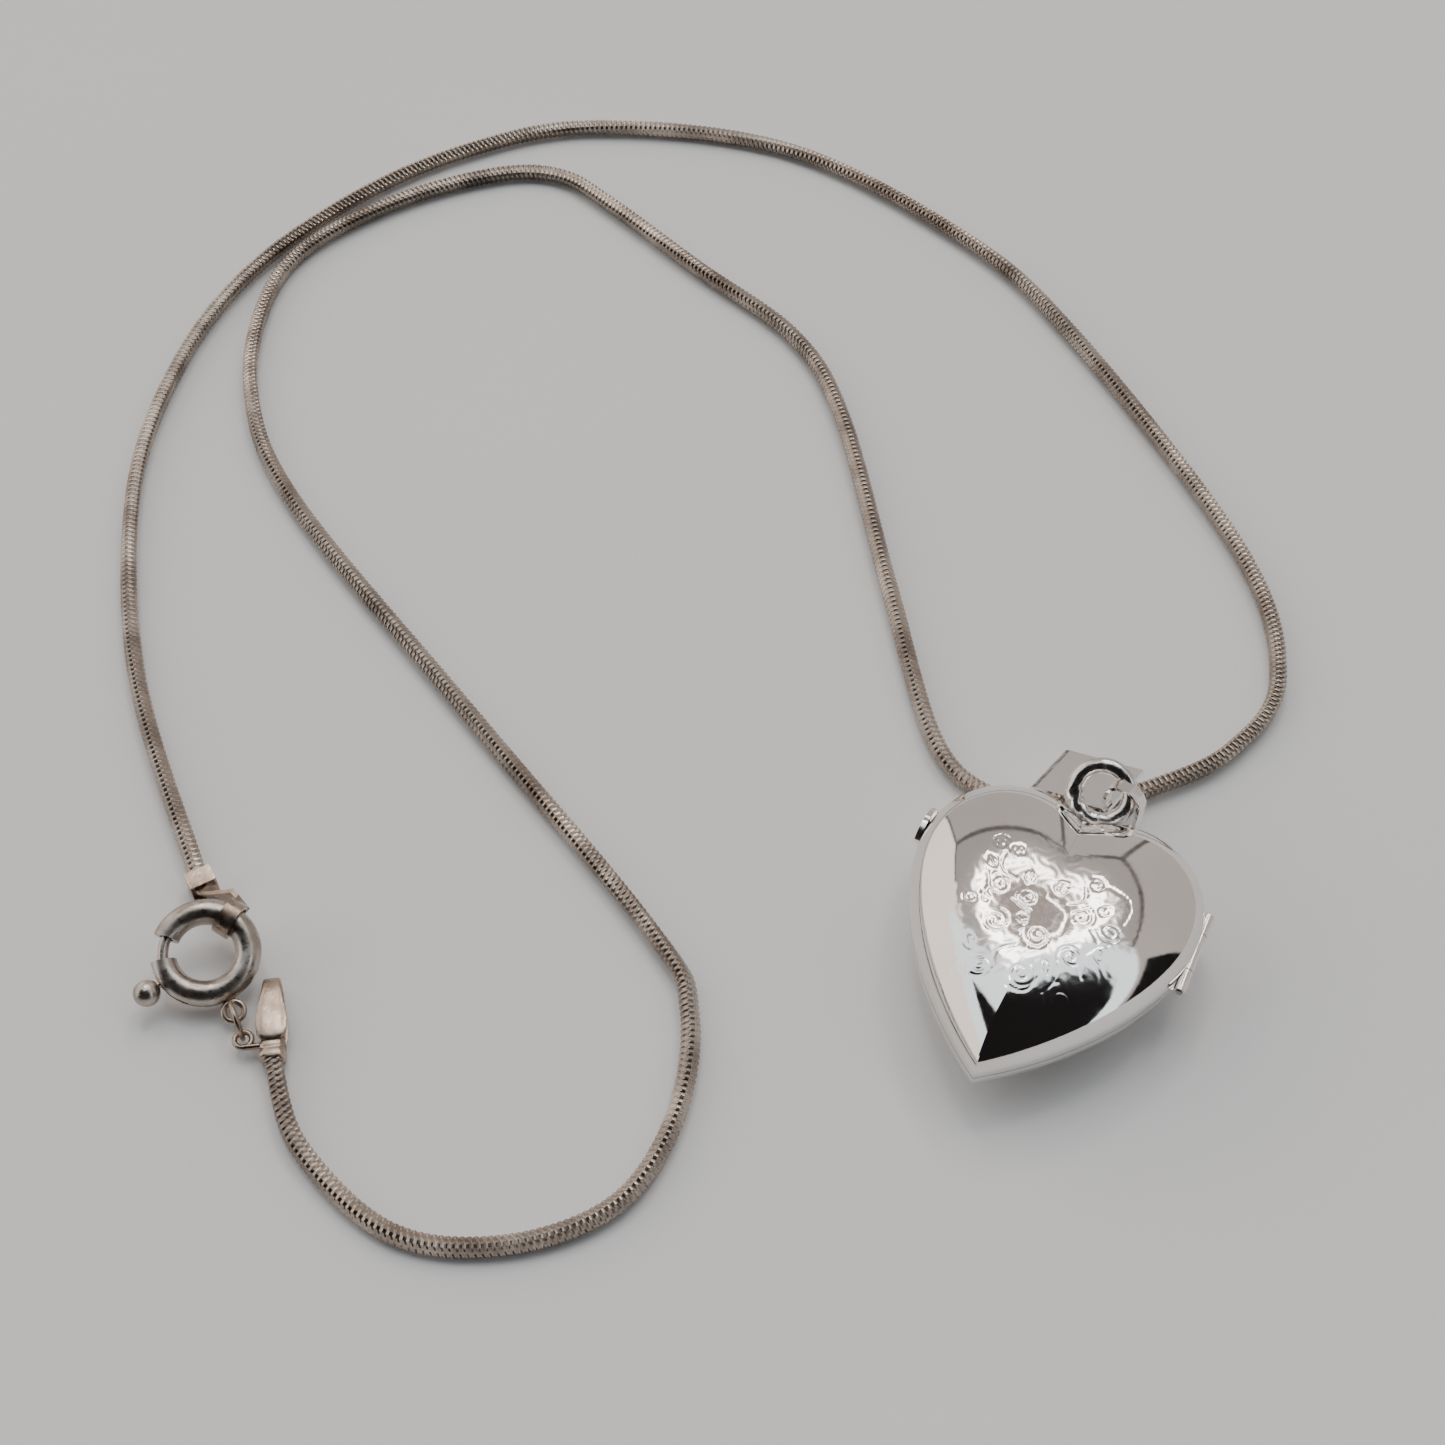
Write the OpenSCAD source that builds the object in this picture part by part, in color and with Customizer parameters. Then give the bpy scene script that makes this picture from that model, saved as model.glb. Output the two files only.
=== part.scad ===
/* [Heart] */
// Half width term of the heart outline
heart_w = 9.35; // [8.6:0.05:10]
// Height of the notch above the outline's centre, and of the tip below it
heart_h = 10; // [9.5:0.05:10.4]
// How far the lobes rise beside the notch
lobe_rise = 6.6; // [6:0.1:7]
// Depth of one dome, from the seam to its crown
dome_h = 3.97; // [3.5:0.01:4.2]
// Sheet thickness of both shells
wall = 0.45; // [0.35:0.05:0.6]
// Height of the straight band beside the seam
rim_h = 0.35; // [0.25:0.05:0.5]

/* [Hinge] */
// Radius of the hinge barrel
barrel_r = 0.4; // [0.36:0.01:0.45]
// Radius of the hinge pin
pin_r = 0.2; // [0.16:0.01:0.22]
// Length of the middle knuckle
knuckle_mid = 2.8; // [2.4:0.1:3.2]
// Length of each outer knuckle
knuckle_end = 1.6; // [1.2:0.05:2]

/* [Ring and bail] */
// Radius of the hanging ring, to the middle of its wire
ring_r = 1.85; // [1.8:0.05:2.1]
// Radius of the hanging ring's wire
ring_wire = 0.5; // [0.4:0.05:0.5]
// Lean of the hanging ring out of the locket's plane
ring_lean = 45; // [40:1:50]
// Width of the bail's strip
bail_w = 4.15; // [4:0.05:4.4]
// Thickness of the bail's strip
bail_t = 0.25; // [0.2:0.05:0.3]

/* [Chain and clasp] */
// Width of the chain across its corners
chain_d = 1.4; // [1.2:0.02:1.4]
// Radius of the spring ring, to the middle of its tube
clasp_r = 2.7; // [2.65:0.05:2.75]
// Radius of the spring ring's tube
clasp_tube = 0.85; // [0.8:0.05:0.9]
// Lean of the spring ring above the surface
clasp_lean = 20; // [18:1:22]

/* [Hidden] */
$fn = 48;

// The heart's outline is drawn about this point, and the seam lies in the plane z = seam_z.
heart_y = -4.1;
seam_z = 4.03;
seam_gap = 0.06;
skew = 1;
tip_pull = 1.4;
outline_points = 72;
dome_rings = 11;
dome_power = 2.5;
crown_r = 8.3;

// Hinge axis, parallel to Y just outside the widest point of the outline.
hinge_x = 9.5;
hinge_y = 0.2;
bore_r = pin_r + 0.03;
knuckle_gap = 0.05;
leaf_t = 0.32;

// Hanging ring and the point on its wire that carries the bail.
ring_at = [0.15, 8.5, 5.4];
bail_turn = -15;
bail_corner = [-5.1, 10.1];
bail_flat = 5.2;
tongue_w = 0.8;
tongue_from = -0.25;
// Cross-sections of the twisted strip: middle, half width and half thickness, from collar to wrap.
strip_sections = [
    [[-0.9, 0, 1.0], [0, 0.75, 0], [0, 0, 0.14]],
    [[-1.9, -0.1, 1.3], [0, 0.62, 0.35], [0, -0.07, 0.12]],
    [[-3.0, -0.5, 2.0], [0.1, 0.3, 0.55], [0.05, -0.13, 0.06]],
    [[-4.2, -1.35, 2.9], [0.25, 0.05, 0.5], [0.1, -0.14, 0]],
    [[-5.1, -1.55, 3.2], [0.4, 0.15, 0.45], [0.06, -0.14, 0.03]],
];

// Frames, windows and paper inserts inside the shells.
frame_scale = 0.9;
frame_opening = 0.78;
frame_h = 0.5;
frame_drop = 0.5;
frame_grips = [50, 150, 210, 310];
grip_r = 0.5;
window_t = 0.2;
insert_t = 0.15;

// Spring ring: centre, turn of its leaning axis, and angles round the tube.
clasp_at = [-48.3, -26.4, 2.4];
clasp_turn = -38.5;
clasp_bore = 0.45;
bolt_r = 0.35;
mouth_from = 227;
mouth_to = 260;
slot_to = 322;
bolt_tip = 221;
bolt_tail = 300;
trigger_at = 284;
knob_r = 0.88;
eye_at = 4;
eye_r = 0.65;
eye_wire = 0.2;
eye_reach = 4.3;

// Jump link between the clasp's eye and the lug of the lower end cap.
link_at = [-44.2, -29.34, 1.39];
link_turn = -40;
link_r = 1.2;
link_wire = 0.18;

// End caps: middle of the collar, and the direction in which the chain leaves it.
cap_upper_at = [-52.9, -21];
cap_upper_turn = 146;
cap_lower_at = [-40.8, -30.5];
cap_lower_turn = -57;
collar_l = 1.3;
collar_w = 1.8;
wrap_at = 125;
wrap_r = 1.0;
wrap_w = 1.1;
strip_t = 0.28;
tab_l = 3.9;
lug_at = [-1.55, -1.85, 1.1];
lug_r = 0.55;

// Route of the chain, from the upper end cap over the far side, through the bail and back.
chain_route = [
    [-52.9, -21, 0.85], [-66.8, -8.4, 0.72], [-77.3, 6.2, 0.72], [-82, 18.8, 0.72],
    [-83.1, 30.4, 0.72], [-80.5, 42, 0.72], [-74.9, 52.6, 0.72], [-65.8, 60.9, 0.72],
    [-48.6, 65.6, 0.72], [-30.4, 61.4, 0.72], [-18, 54.2, 0.72], [1.2, 37.8, 0.72],
    [7.7, 27, 0.72], [6.6, 19.2, 0.72], [2.6, 13.6, 0.86], [-0.2, 11.1, 1.04], [-3.1, 9.1, 1.04],
    [-6.9, 8.2, 0.82], [-12.4, 10.9, 0.72], [-21, 22.8, 0.72], [-31.4, 37.6, 0.72],
    [-38.6, 44.1, 0.72], [-49, 48, 0.72], [-59.8, 52.2, 0.72], [-65.2, 53.6, 0.72],
    [-70.2, 51.6, 0.72], [-76.2, 45, 0.72], [-80.3, 36.4, 0.72], [-79.9, 28.8, 0.72],
    [-75.2, 19.4, 0.72], [-66, 11, 0.72], [-44, -0.8, 0.72], [-23.4, -11.6, 0.72],
    [-18.6, -15.8, 0.72], [-16.1, -22.8, 0.72], [-16.7, -29.6, 0.72], [-21.4, -34.8, 0.72],
    [-28.2, -37.2, 0.72], [-36.2, -34.8, 0.74], [-40.8, -30.5, 0.85],
];
rings_per_leg = 2;
chain_sides = 8;

silver = [0.82, 0.8, 0.79];
dull_silver = [0.6, 0.56, 0.53];

// Point of the heart's outline at angle t, measured from the notch, about the outline's centre.
function heart_point(t) = [
    heart_w * sin(t) - skew * sin(2 * t),
    heart_h * cos(t) + (lobe_rise - tip_pull * cos(t)) * abs(sin(t)),
];

// The same outline drawn in to the fraction s, rounding off as it nears the crown.
function dome_point(t, s) =
    let (crown = [crown_r * sin(t), crown_r * cos(t)], mix = 0.85 * (1 - s))
    s * ((1 - mix) * heart_point(t) + mix * crown);

function dome_ring(s, z) = [
    for (i = [0 : outline_points - 1])
        let (p = dome_point(360 * i / outline_points, s))
        [p[0], p[1] + heart_y, z]
];

// Height of the dome over its rim at the fraction s of the outline.
function dome_rise(s, h) = h * pow(max(0, 1 - pow(s, dome_power)), 0.5);

// Rings from the seam to the crown, for a dome of the height h whose rim has the fraction s_rim.
function dome_rings_at(h, s_rim) = [
    for (k = [0 : dome_rings])
        let (s = sin(90 * (1 - k / dome_rings)) * (1 - 0.02) + 0.02)
        dome_ring(s * s_rim, rim_h + dome_rise(s, h - rim_h))
];

function ring_faces(first, flip) = [
    for (i = [0 : outline_points - 1])
        let (a = first + i, b = first + (i + 1) % outline_points)
        flip ? [a, a + outline_points, b + outline_points, b]
             : [a, b, b + outline_points, a + outline_points]
];

function cap_faces(first, flip) = [
    flip ? [for (i = [outline_points - 1 : -1 : 0]) first + i]
         : [for (i = [0 : outline_points - 1]) first + i]
];

// One domed half, with its open side at z = 0 and its crown at z = dome_h.
module dome_shell() {
    inner_scale = 1 - wall / heart_w;
    outer = concat([dome_ring(1, 0)], dome_rings_at(dome_h, 1));
    inner = concat([dome_ring(inner_scale, 0)], dome_rings_at(dome_h - wall, inner_scale));
    n = len(outer);
    points = [for (r = concat(outer, inner)) each r];
    outer_sides = [for (k = [0 : n - 2]) each ring_faces(k * outline_points, false)];
    inner_sides = [for (k = [0 : n - 2]) each ring_faces((n + k) * outline_points, true)];
    seam = [
        for (i = [0 : outline_points - 1])
            let (a = i, b = (i + 1) % outline_points, m = n * outline_points)
            [a, a + m, b + m, b]
    ];
    crowns = concat(cap_faces((n - 1) * outline_points, false), cap_faces((2 * n - 1) * outline_points, true));
    difference() {
        polyhedron(points = points, faces = concat(outer_sides, inner_sides, seam, crowns), convexity = 6);
        barrel_groove();
    }
}

// Room for the hinge barrel along the rim.
module barrel_groove() {
    length = knuckle_mid + 2 * knuckle_end + 2 * knuckle_gap + 0.4;
    translate([hinge_x, hinge_y, -seam_gap / 2])
        rotate([-90, 0, 0]) cylinder(r = barrel_r + 0.1, h = length, center = true);
}

// Stands on the hinge pin's middle, with the pin along y.
module at_hinge() {
    translate([hinge_x, hinge_y, seam_z - seam_gap / 2]) children();
}

module heart_plate(s, t) {
    linear_extrude(height = t)
        polygon([for (p = dome_ring(1, 0)) [p[0] * s, (p[1] - heart_y) * s + heart_y]]);
}

// Frame that holds the picture, frame_drop under the seam. Its grips wedge it in the shell.
module picture_frame() {
    translate([0, 0, frame_drop])
        difference() {
            union() {
                heart_plate(frame_scale, frame_h);
                for (t = frame_grips)
                    let (p = heart_point(t) * frame_scale)
                    translate([p[0], p[1] + heart_y, 0]) cylinder(r = grip_r, h = frame_h);
            }
            translate([0, 0, -1]) heart_plate(frame_opening, frame_h + 2);
        }
}

// Halves are drawn with the seam at z = 0 and the crown up, then set in place.
module in_back() {
    translate([0, 0, seam_z - seam_gap]) mirror([0, 0, 1]) children();
}

module in_front() {
    translate([0, 0, seam_z]) children();
}

module knuckle(y0, length) {
    translate([0, y0, 0])
        rotate([-90, 0, 0])
            difference() {
                cylinder(r = barrel_r, h = length);
                translate([0, 0, -1]) cylinder(r = bore_r, h = length + 2);
            }
}

// Leaf that joins a knuckle to the rim, above the seam for side = 1 and below it for side = -1.
module leaf(y0, length, side, reach) {
    z0 = seam_gap / 2 + 0.02;
    difference() {
        translate([-reach, y0, side > 0 ? z0 : -z0 - leaf_t]) cube([reach, length, leaf_t]);
        translate([0, y0 - 1, 0])
            rotate([-90, 0, 0]) cylinder(r = (barrel_r + bore_r) / 2, h = length + 2);
    }
}

module torus(major, minor) {
    rotate_extrude() translate([major, 0]) circle(r = minor);
}

// Closed band round a path of points, t thick, as a flat profile.
function normal_at(path, i) =
    let (
        a = path[max(i - 1, 0)],
        b = path[min(i + 1, len(path) - 1)],
        d = (b - a) / norm(b - a)
    )
    [-d[1], d[0]];

module strip_profile(path, t) {
    polygon(concat(
        [for (i = [0 : len(path) - 1]) path[i] + normal_at(path, i) * t / 2],
        [for (i = [len(path) - 1 : -1 : 0]) path[i] - normal_at(path, i) * t / 2]
    ));
}

// Stands a profile up: its x runs away from the bail's fold, its y is height, and it is w wide.
module bail_strip(path, from, w) {
    translate([bail_corner[0], bail_corner[1], 0])
        rotate([0, 0, bail_turn])
            translate([0, from + w, 0])
                rotate([90, 0, 0])
                    linear_extrude(height = w) strip_profile(path, bail_t);
}

// Smooth route through the hand-set points.
function spline(p0, p1, p2, p3, t) =
    0.5 * (2 * p1 + (p2 - p0) * t + (2 * p0 - 5 * p1 + 4 * p2 - p3) * t * t
        + (3 * p1 - p0 - 3 * p2 + p3) * t * t * t);

function route_point(route, i, t) =
    let (n = len(route) - 1)
    spline(route[max(i - 1, 0)], route[i], route[min(i + 1, n)], route[min(i + 2, n)], t);

function smooth_route(route, per_leg) = concat(
    [for (i = [0 : len(route) - 2], k = [0 : per_leg - 1]) route_point(route, i, k / per_leg)],
    [route[len(route) - 1]]
);

// Tube of the radius r swept along the points, with flat ends.
module swept_tube(points, r, sides) {
    n = len(points);
    rings = [
        for (i = [0 : n - 1])
            let (
                d = points[min(i + 1, n - 1)] - points[max(i - 1, 0)],
                f = d / norm(d),
                side = cross([0, 0, 1], f),
                u = side / norm(side),
                v = cross(f, u)
            )
            for (k = [0 : sides - 1])
                let (a = 360 * (k + 0.5) / sides)
                points[i] + r * (cos(a) * u + sin(a) * v)
    ];
    walls = [
        for (i = [0 : n - 2], k = [0 : sides - 1])
            let (a = i * sides + k, b = i * sides + (k + 1) % sides)
            [a, a + sides, b + sides, b]
    ];
    ends = [
        [for (k = [0 : sides - 1]) k],
        [for (k = [sides - 1 : -1 : 0]) (n - 1) * sides + k],
    ];
    polyhedron(points = rings, faces = concat(walls, ends), convexity = 10);
}

// The spring ring's own frame: its axis is z and the tube's angles are measured from x.
module in_clasp() {
    translate(clasp_at) rotate([0, clasp_lean, clasp_turn]) children();
}

module arc_tube(r, from, to) {
    rotate([0, 0, from])
        rotate_extrude(angle = to - from) translate([clasp_r, 0]) circle(r = r);
}

module back_shell() {
    color(silver) in_back() dome_shell();
}

module front_shell() {
    color(silver) in_front() dome_shell();
}

module back_frame() {
    color(silver) in_back() picture_frame();
}

module front_frame() {
    color(silver) in_front() picture_frame();
}

module back_window() {
    color([0.9, 0.93, 0.95, 0.4])
        in_back() translate([0, 0, frame_drop + frame_h]) heart_plate(frame_scale * 0.96, window_t);
}

module front_window() {
    color([0.9, 0.93, 0.95, 0.4])
        in_front() translate([0, 0, frame_drop + frame_h]) heart_plate(frame_scale * 0.96, window_t);
}

module back_insert() {
    color("ivory")
        in_back() translate([0, 0, frame_drop + frame_h + window_t]) heart_plate(frame_scale * 0.94, insert_t);
}

module front_insert() {
    color("ivory")
        in_front() translate([0, 0, frame_drop + frame_h + window_t]) heart_plate(frame_scale * 0.94, insert_t);
}

module hinge_knuckles_back() {
    half = knuckle_mid / 2 + knuckle_gap;
    color(silver)
        at_hinge()
            for (y0 = [half, -half - knuckle_end]) {
                knuckle(y0, knuckle_end);
                leaf(y0, knuckle_end, -1, 1.6);
            }
}

module hinge_knuckle_front() {
    color(silver)
        at_hinge() {
            knuckle(-knuckle_mid / 2, knuckle_mid);
            leaf(-knuckle_mid / 2, knuckle_mid, 1, 0.95);
        }
}

module hinge_pin() {
    length = knuckle_mid + 2 * knuckle_end + 2 * knuckle_gap;
    color(dull_silver)
        at_hinge() rotate([-90, 0, 0]) cylinder(r = pin_r, h = length + 0.2, center = true);
}

// Lip on the cover's free side that a fingernail lifts.
module thumb_tab() {
    length = 2.8;
    lip_h = 1.05;
    lip_t = 0.35;
    color(silver)
        translate([-9.9, 0.3, seam_z + 0.05])
            rotate([0, 0, -3]) {
                intersection() {
                    cube([lip_t, length, lip_h]);
                    translate([0, length / 2, lip_h - 1.9])
                        rotate([0, 90, 0]) cylinder(r = 1.9, h = lip_t);
                }
                cube([0.75, length, 0.28]);
            }
}

// Thin spring tongue on the back shell that snaps inside the cover's rim.
module snap_lip() {
    color(silver)
        translate([-8.88, -0.95, seam_z - 1.25]) {
            cube([0.18, 2.0, 2.0]);
            translate([0, 0.3, 1.72]) rotate([-90, 0, 0]) cylinder(r = 0.06, h = 1.4);
        }
}

module hanging_ring() {
    color(silver)
        translate(ring_at) rotate([ring_lean, 0, 0]) torus(ring_r, ring_wire);
}

// Solder that fills the notch and holds the ring to the back shell.
module ring_solder() {
    color(silver) {
        translate([0, 6.2, 3.0]) cylinder(r = 0.5, h = 0.9);
        translate([-0.1, 6.75, 3.75]) sphere(r = 0.5);
    }
}

module bail() {
    legs = [
        [6.2, 3.9], [0.6, 1.12], [0.3, 0.9], [0.18, 0.6], [0.3, 0.3],
        [0.6, 0.18], [bail_flat, 0.18],
    ];
    tongue = [
        [bail_flat - 0.4, 0.2], [5.6, 0.35], [8, 3.1], [8.25, 3.8], [8.25, 6.3], [7.95, 6.85],
        [7.3, 7.05], [6.5, 6.85], [5.95, 6.3], [5.75, 5.4], [5.9, 3.75],
    ];
    color(silver) {
        bail_strip(legs, 0, bail_w);
        bail_strip(tongue, tongue_from, tongue_w);
    }
}

module chain() {
    color(dull_silver)
        swept_tube(smooth_route(chain_route, rings_per_leg), chain_d / 2, chain_sides);
}

// Square collar on the chain's end. Its outer end faces x and holds the chain.
module collar() {
    translate([-collar_l, -collar_w / 2, 0.03]) cube([collar_l, collar_w, collar_w * 0.9]);
}

// Frame of the strip's wrap round the spring ring's tube: y runs along the tube.
module at_wrap() {
    in_clasp() rotate([0, 0, wrap_at]) translate([clasp_r, 0, 0]) children();
}

module twisted_strip(sections) {
    n = len(sections);
    corners = [
        for (s = sections)
            each [s[0] + s[1] + s[2], s[0] + s[1] - s[2], s[0] - s[1] - s[2], s[0] - s[1] + s[2]]
    ];
    sides = [
        for (i = [0 : n - 2], k = [0 : 3])
            let (a = 4 * i + k, b = 4 * i + (k + 1) % 4)
            each [[a, b + 4, b], [a, a + 4, b + 4]]
    ];
    ends = [[0, 1, 2, 3], [4 * n - 1, 4 * n - 2, 4 * n - 3, 4 * n - 4]];
    polyhedron(points = corners, faces = concat(ends, sides));
}

// The strip leaves the collar, twists, and is wrapped once round the spring ring's tube.
module end_cap_upper() {
    color(dull_silver) {
        in_cap_upper() {
            collar();
            twisted_strip(strip_sections);
            translate([-collar_l - 1.1, 0.35, 0.05]) rotate([0, 0, -14]) cube([1.6, 0.75, 0.25]);
        }
        at_wrap()
            translate([0, wrap_w / 2, 0])
                rotate([90, 0, 0])
                    difference() {
                        cylinder(r = wrap_r + strip_t, h = wrap_w);
                        translate([0, 0, -1]) cylinder(r = wrap_r, h = wrap_w + 2);
                    }
    }
}

module in_cap_upper() {
    translate([cap_upper_at[0], cap_upper_at[1], 0]) rotate([0, 0, cap_upper_turn]) children();
}

// The lower cap's tab is folded flat on itself, and a lug on its side takes the jump link.
module end_cap_lower() {
    color(dull_silver)
        translate([cap_lower_at[0], cap_lower_at[1], 0])
            rotate([0, 0, cap_lower_turn]) {
                collar();
                for (z0 = [0.2, 1.3])
                    translate([0.1 - collar_l, 0, z0]) linear_extrude(height = 0.25) tab_outline();
                translate([0.2 - tab_l - collar_l, 0.55, 0.875])
                    rotate([90, 0, 0]) cylinder(r = 0.675, h = 1.1);
                translate(lug_at) torus(lug_r, 0.18);
                translate([lug_at[0] + lug_r, lug_at[1], lug_at[2]])
                    rotate([-90, 0, 0]) cylinder(r = 0.2, h = 1.1);
            }
}

module tab_outline() {
    polygon([[0, -0.95], [0, 0.95], [-2.6, 0.85], [-tab_l, 0.55], [-tab_l, -0.55], [-2.6, -0.85]]);
}

module clasp_ring() {
    color(dull_silver)
        in_clasp() difference() {
            arc_tube(clasp_tube, mouth_to, mouth_from + 360);
            arc_tube(clasp_bore, mouth_to - 5, mouth_from + 365);
            rotate([0, 0, mouth_to - 2])
                rotate_extrude(angle = slot_to - mouth_to + 2)
                    translate([clasp_r, -0.3]) square([2, 0.6]);
        }
}

module clasp_bolt() {
    color(dull_silver)
        in_clasp() {
            arc_tube(bolt_r, bolt_tip, bolt_tail);
            rotate([0, 0, trigger_at]) {
                translate([clasp_r, 0, 0]) rotate([0, 90, 0]) cylinder(r = 0.24, h = 1.5);
                translate([clasp_r + 1.75, 0, 0]) sphere(r = knob_r);
            }
        }
}

module clasp_spring() {
    turns = 8;
    steps = 8;
    points = [
        for (k = [0 : turns * steps])
            let (
                along = bolt_tail + 3 + 70 * k / (turns * steps),
                around = 360 * k / steps,
                r = clasp_r + 0.28 * cos(around)
            )
            [r * cos(along), r * sin(along), 0.28 * sin(around)]
    ];
    color(dull_silver) in_clasp() swept_tube(points, 0.1, 6);
}

module clasp_eye() {
    color(dull_silver)
        in_clasp() rotate([0, 0, eye_at])
            translate([eye_reach, 0, 0]) torus(eye_r, eye_wire);
}

module jump_link() {
    color(dull_silver)
        translate(link_at) rotate([90, 0, link_turn]) torus(link_r, link_wire);
}

back_shell();
front_shell();
back_frame();
front_frame();
back_window();
front_window();
back_insert();
front_insert();
hinge_knuckles_back();
hinge_knuckle_front();
hinge_pin();
thumb_tab();
snap_lip();
hanging_ring();
ring_solder();
bail();
chain();
end_cap_upper();
end_cap_lower();
clasp_ring();
clasp_bolt();
clasp_spring();
clasp_eye();
jump_link();
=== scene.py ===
import math

import bpy
import numpy as np
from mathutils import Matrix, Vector


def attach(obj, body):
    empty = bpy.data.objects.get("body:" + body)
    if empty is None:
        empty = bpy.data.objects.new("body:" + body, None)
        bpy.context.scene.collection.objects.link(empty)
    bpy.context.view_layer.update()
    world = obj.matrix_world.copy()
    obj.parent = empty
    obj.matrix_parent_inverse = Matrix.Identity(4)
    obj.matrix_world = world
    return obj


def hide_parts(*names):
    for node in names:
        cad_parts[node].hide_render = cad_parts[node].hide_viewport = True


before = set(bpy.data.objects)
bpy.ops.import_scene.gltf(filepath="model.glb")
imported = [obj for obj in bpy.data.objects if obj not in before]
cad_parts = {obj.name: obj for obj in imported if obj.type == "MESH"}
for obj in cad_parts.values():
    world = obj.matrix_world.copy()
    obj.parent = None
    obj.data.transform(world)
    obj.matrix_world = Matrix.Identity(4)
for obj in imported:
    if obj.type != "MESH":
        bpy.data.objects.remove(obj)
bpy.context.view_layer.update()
MM = 0.001

# ---------------------------------------------------------------- camera
CAMERA_AT = (11.93, -74.42, 121.21)
CAMERA_DOWN = math.radians(53.5)
CAMERA_TURN = math.radians(25.66)
CAMERA_LENS = 52.57


def make_camera():
    """Looks down at the necklace from in front of the locket's tip."""
    data = bpy.data.cameras.new("camera")
    data.lens = CAMERA_LENS
    data.sensor_width = 36
    data.clip_start = 0.005
    data.clip_end = 20
    camera = bpy.data.objects.new("camera", data)
    bpy.context.scene.collection.objects.link(camera)
    level = math.cos(CAMERA_DOWN)
    forward = Vector((-math.sin(CAMERA_TURN) * level, math.cos(CAMERA_TURN) * level, -math.sin(CAMERA_DOWN)))
    camera.location = Vector(CAMERA_AT) * MM
    camera.rotation_euler = forward.to_track_quat("-Z", "Y").to_euler()
    bpy.context.scene.camera = camera


make_camera()


# ---------------------------------------------------------------- mesh helpers
def mesh_object(name, points_mm, faces, smooth=True):
    mesh = bpy.data.meshes.new(name)
    mesh.from_pydata([tuple(p) for p in np.asarray(points_mm) * MM], [], faces)
    mesh.validate()
    piece = bpy.data.objects.new(name, mesh)
    bpy.context.scene.collection.objects.link(piece)
    if smooth:
        mesh.polygons.foreach_set("use_smooth", [True] * len(mesh.polygons))
    return piece


def skin(rings, loop=False):
    """Points and faces over closed rings of equal length. loop joins the last ring to the first."""
    count, around = len(rings), len(rings[0])
    faces = []
    for i in range(count if loop else count - 1):
        a = i * around
        b = ((i + 1) % count) * around
        for k in range(around):
            n = (k + 1) % around
            faces.append((a + k, a + n, b + n, b + k))
    if not loop:
        faces.append(tuple(range(around - 1, -1, -1)))
        last = (count - 1) * around
        faces.append(tuple(range(last, last + around)))
    return np.concatenate(rings), faces


def joined(skins):
    """Several skins as one set of points and faces."""
    points, faces, start = [], [], 0
    for part_points, part_faces in skins:
        points.append(part_points)
        faces += [tuple(k + start for k in face) for face in part_faces]
        start += len(part_points)
    return np.concatenate(points), faces


def loft(name, rings, loop=False, smooth=True):
    return mesh_object(name, *skin(rings, loop), smooth)


def round_box_ring(middle, half_width, half_thick, sides=20, power=5.0):
    """Ring with the outline of a rectangle with rounded corners, from its half width and half thickness."""
    a = 2 * math.pi * (np.arange(sides) + 0.5) / sides
    reach = (np.abs(np.cos(a)) ** power + np.abs(np.sin(a)) ** power) ** (-1 / power)
    return (np.array(middle) + (reach * np.cos(a))[:, None] * np.array(half_width)
            + (reach * np.sin(a))[:, None] * np.array(half_thick))


def spline(points, per_leg):
    """Smooth route through the given points, per_leg samples between each two."""
    points = np.array(points, float)
    route = []
    for i in range(len(points) - 1):
        p0, p1 = points[max(i - 1, 0)], points[i]
        p2, p3 = points[i + 1], points[min(i + 2, len(points) - 1)]
        for k in range(per_leg):
            t = k / per_leg
            route.append(0.5 * (2 * p1 + (p2 - p0) * t + (2 * p0 - 5 * p1 + 4 * p2 - p3) * t ** 2
                                + (3 * p1 - p0 - 3 * p2 + p3) * t ** 3))
    route.append(points[-1])
    return np.array(route)


def even_steps(route, step):
    """The same route sampled every step along its length."""
    legs = np.linalg.norm(np.diff(route, axis=0), axis=1)
    along = np.concatenate([[0], np.cumsum(legs)])
    count = int(round(along[-1] / step)) + 1
    at = np.linspace(0, along[-1], count)
    return np.stack([np.interp(at, along, route[:, i]) for i in range(3)], axis=1), at


def frames_along(route):
    """Unit vectors forward, sideways (level) and up for each point of a lying route."""
    forward = np.gradient(route, axis=0)
    forward /= np.linalg.norm(forward, axis=1)[:, None]
    side = np.cross([0.0, 0.0, 1.0], forward)
    side /= np.linalg.norm(side, axis=1)[:, None]
    return forward, side, np.cross(forward, side)


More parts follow.
